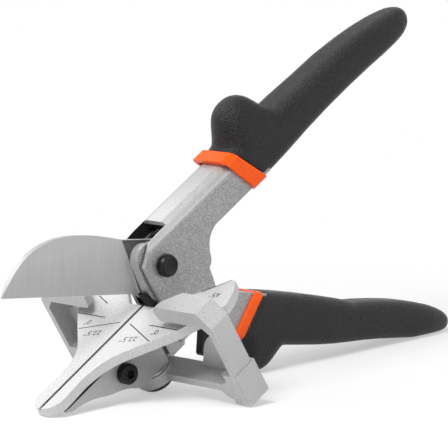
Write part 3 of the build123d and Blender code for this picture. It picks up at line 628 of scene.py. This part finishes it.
# Floor: a pale paper sheet that the tool stands on, laid out for the photograph.
# It keeps the tool's shadow and fades to plain white away from it.
FLOOR_HALF = 2.0
FADE_START = 0.10
FADE_END = 0.26
PAPER_GLOW = 0.45
TOOL_MIDDLE = (0.06, 0.0)
floor_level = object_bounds()[0][2]
floor_mesh = bpy.data.meshes.new("floor")
floor_corners = [
    (x * FLOOR_HALF, y * FLOOR_HALF, floor_level)
    for x, y in [(-1, -1), (1, -1), (1, 1), (-1, 1)]
]
floor_mesh.from_pydata(floor_corners, [], [(0, 1, 2, 3)])
floor = bpy.data.objects.new("floor", floor_mesh)
bpy.context.scene.collection.objects.link(floor)
paper = finish(
    "paper", (0.90,) * 3, (0.93,) * 3, rough=0.8, metallic=0.0,
    grain=40, relief=0.02, depth=0.2, patch=3,
)
floor_mesh.materials.append(paper)


def seen_rays(tree):
    """One where a camera, glossy or transmission ray looks, nought for light itself."""
    path = tree.nodes.new("ShaderNodeLightPath").outputs
    seen = worked_out(tree, "MAXIMUM", path["Is Camera Ray"], path["Is Glossy Ray"])
    return worked_out(tree, "MAXIMUM", seen, path["Is Transmission Ray"])


def blended(tree, share, first, second):
    """Two shaders mixed by a share."""
    blend = tree.nodes.new("ShaderNodeMixShader")
    tree.links.new(share, blend.inputs["Fac"])
    tree.links.new(first, blend.inputs[1])
    tree.links.new(second, blend.inputs[2])
    return blend.outputs["Shader"]


paper_tree = paper.node_tree
sheet = paper_tree.nodes["Principled BSDF"].outputs["BSDF"]
white = paper_tree.nodes.new("ShaderNodeEmission").outputs["Emission"]
away = paper_tree.nodes.new("ShaderNodeVectorMath")
away.operation = "DISTANCE"
away.inputs[1].default_value = (*TOOL_MIDDLE, floor_level)
paper_tree.links.new(paper_tree.nodes["Texture Coordinate"].outputs["Object"], away.inputs[0])
fade = paper_tree.nodes.new("ShaderNodeMapRange")
fade.inputs["From Min"].default_value = FADE_START
fade.inputs["From Max"].default_value = FADE_END
fade.inputs["To Min"].default_value = PAPER_GLOW
paper_tree.links.new(away.outputs["Value"], fade.inputs["Value"])
share = worked_out(paper_tree, "MULTIPLY", fade.outputs["Result"], seen_rays(paper_tree))
paper_surface = paper_tree.nodes["Material Output"].inputs["Surface"]
paper_tree.links.new(blended(paper_tree, share, sheet, white), paper_surface)


# Studio: a white tent round the table, a soft box above the tip as the main lamp,
# and two weak ones, one beside the handles and one behind the blade.
BACKDROP = 1.0
TENT_LIGHT = 0.27
LAMP_AIM = Vector((0.05, 0, 0))
LAMPS = [
    ("key", (-0.6, -0.2, 0.9), 0.5, 12.5),
    ("fill", (0.5, -1.0, 0.35), 0.6, 1.9),
    ("rim", (-0.25, 0.85, 0.7), 0.6, 3.5),
]


def even_white(tree, strength):
    """White light of the same strength from every side."""
    light = tree.nodes.new("ShaderNodeBackground")
    light.inputs["Color"].default_value = (1, 1, 1, 1)
    light.inputs["Strength"].default_value = strength
    return light.outputs["Background"]


world = bpy.data.worlds.new("studio")
bpy.context.scene.world = world
world.use_nodes = True
tent_tree = world.node_tree
tent_tree.nodes.clear()
tent = tent_tree.nodes.new("ShaderNodeOutputWorld")
tent_light = even_white(tent_tree, TENT_LIGHT)
backdrop = even_white(tent_tree, BACKDROP)
tent_mix = blended(tent_tree, seen_rays(tent_tree), tent_light, backdrop)
tent_tree.links.new(tent_mix, tent.inputs["Surface"])
for name, place, size, power in LAMPS:
    lamp_data = bpy.data.lights.new(name, "AREA")
    lamp_data.size = size
    lamp_data.energy = power
    lamp = bpy.data.objects.new(name, lamp_data)
    lamp.location = place
    lamp.rotation_euler = (LAMP_AIM - Vector(place)).to_track_quat("-Z", "Y").to_euler()
    bpy.context.scene.collection.objects.link(lamp)


# Camera: at the photograph's place, found from lines on the tool whose sizes are known.
# Its place and directions are given as seen from the work table.
CAMERA_PLACE = (-559.33, -871.47, 585.54)
CAMERA_RIGHT = (0.60820, -0.69368, -0.38588)
CAMERA_DOWN = (-0.60620, -0.09206, -0.78996)
CAMERA_AHEAD = (0.51246, 0.71437, -0.47650)
SENSOR_WIDTH = 36.0
FOCUS_IN_PIXELS = 3000.0
PHOTO_WIDTH = 448.0
FAR_LIMIT = 20
lens = bpy.data.cameras.new("camera")
lens.sensor_width = SENSOR_WIDTH
lens.lens = FOCUS_IN_PIXELS * SENSOR_WIDTH / PHOTO_WIDTH
lens.clip_end = FAR_LIMIT
camera = bpy.data.objects.new("camera", lens)
camera_turn = turned_to(table_way(*CAMERA_RIGHT), -table_way(*CAMERA_DOWN), -table_way(*CAMERA_AHEAD))
camera.matrix_world = Matrix.Translation(table_spot(*CAMERA_PLACE)) @ camera_turn
bpy.context.scene.collection.objects.link(camera)
bpy.context.scene.camera = camera
bpy.context.scene.view_settings.view_transform = "Standard"
